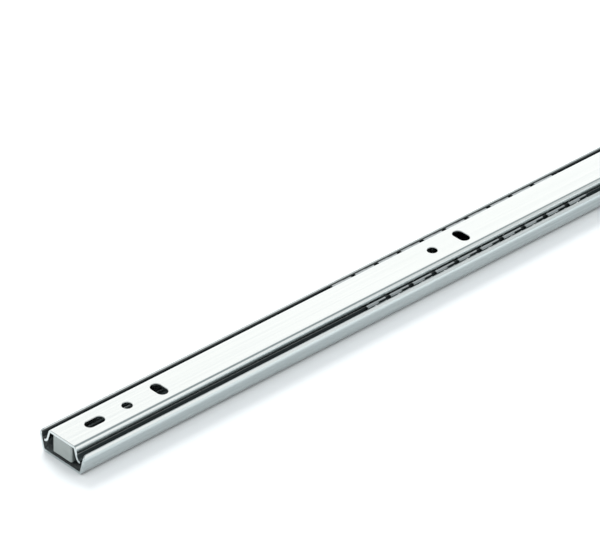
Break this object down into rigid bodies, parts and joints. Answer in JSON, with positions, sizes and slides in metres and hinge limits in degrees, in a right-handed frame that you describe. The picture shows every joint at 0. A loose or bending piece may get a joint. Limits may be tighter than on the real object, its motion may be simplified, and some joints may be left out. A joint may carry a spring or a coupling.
{
  "type": "cabinet drawer slide",
  "caption": "Two-member partial-extension ball-bearing drawer slide in bright zinc-plated steel, with a caged ball row on each side, a plastic front bumper and a plastic rear catch.",
  "frame": {"origin": "middle of the cabinet member's underside, at half length", "axes": "+X from the front end to the back end along the slide, +Y across it, +Z from the cabinet side to the drawer side; the drawer pulls out along -X"},
  "size_m": [0.4, 0.025, 0.011],
  "materials": {
    "zinc_plated_steel": "bright zinc plate with a faint blue cast, smooth rolled strip with light lengthwise drawing lines",
    "retainer_steel": "thin zinc-plated strip, slightly duller than the members",
    "ball_steel": "polished hardened steel balls",
    "grey_plastic": "light grey moulded plastic, fine satin surface",
    "white_plastic": "off-white moulded plastic, satin surface"
  },
  "bodies": {
    "cabinet": {"cabinet_member": "zinc_plated_steel", "rear_catch": "white_plastic"},
    "drawer": {"drawer_member": "zinc_plated_steel", "front_bumper": "grey_plastic"},
    "retainer": {"ball_retainer": "retainer_steel", "ball_near_01": "ball_steel", "ball_near_02": "ball_steel", "ball_near_03": "ball_steel", "ball_near_04": "ball_steel", "ball_near_05": "ball_steel", "ball_near_06": "ball_steel", "ball_near_07": "ball_steel", "ball_near_08": "ball_steel", "ball_near_09": "ball_steel", "ball_near_10": "ball_steel", "ball_far_01": "ball_steel", "ball_far_02": "ball_steel", "ball_far_03": "ball_steel", "ball_far_04": "ball_steel", "ball_far_05": "ball_steel", "ball_far_06": "ball_steel", "ball_far_07": "ball_steel", "ball_far_08": "ball_steel", "ball_far_09": "ball_steel", "ball_far_10": "ball_steel"}
  },
  "joints": [
    {"name": "drawer_slide", "type": "slide", "parent": "cabinet", "child": "drawer", "axis": [-1, 0, 0], "range_m": [0, 0.24]},
    {"name": "retainer_slide", "type": "slide", "parent": "cabinet", "child": "retainer", "axis": [-1, 0, 0], "range_m": [0, 0.12]}
  ],
  "couplings": [
    {"joint": "retainer_slide", "follows": "drawer_slide", "ratio": 0.5}
  ]
}
